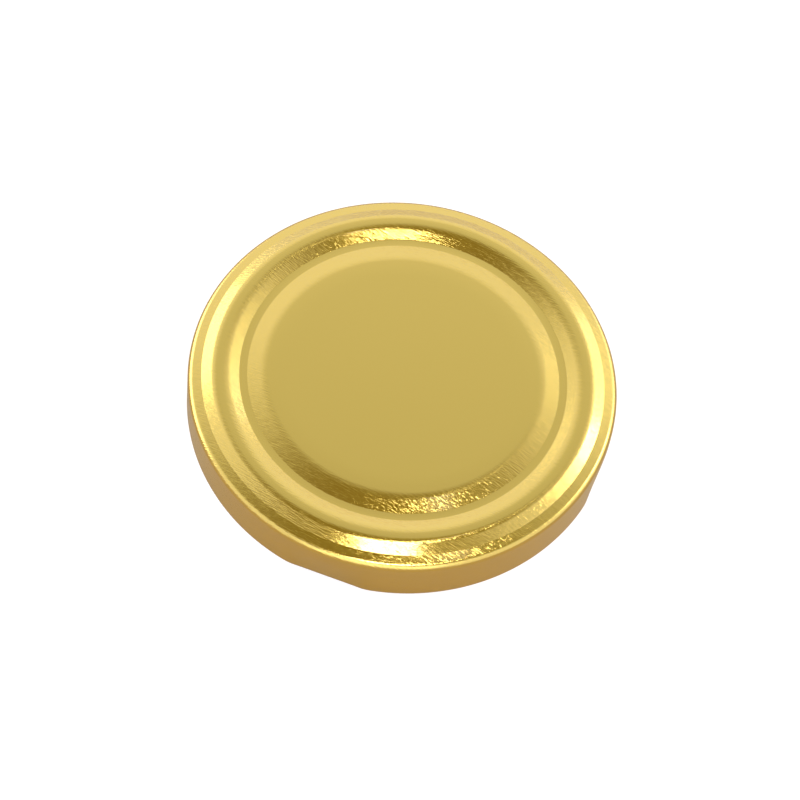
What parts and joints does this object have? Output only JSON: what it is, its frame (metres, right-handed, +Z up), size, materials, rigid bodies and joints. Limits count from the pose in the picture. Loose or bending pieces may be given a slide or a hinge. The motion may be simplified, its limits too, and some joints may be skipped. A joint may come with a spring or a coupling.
{
  "type": "twist-off cap",
  "caption": "Gold lacquered tinplate lug cap with a stepped top, rolled curl, pressed-in lugs and a sealing ring, for a glass jar.",
  "frame": {"origin": "middle of the bounding box's bottom face, on the ground that the curl rests on, on the cap's axis", "axes": "+Z up along the cap's axis, out through the closed top; the lugs lie on +X, +Y, -X and -Y"},
  "size_m": [0.0698, 0.0698, 0.0104],
  "materials": {
    "gold_tinplate": "satin gold lacquer over rolled tinplate",
    "sealing_compound": "smooth matt compound"
  },
  "bodies": {
    "root": {"cap_shell": "gold_tinplate", "sealing_ring": "sealing_compound"}
  },
  "joints": []
}
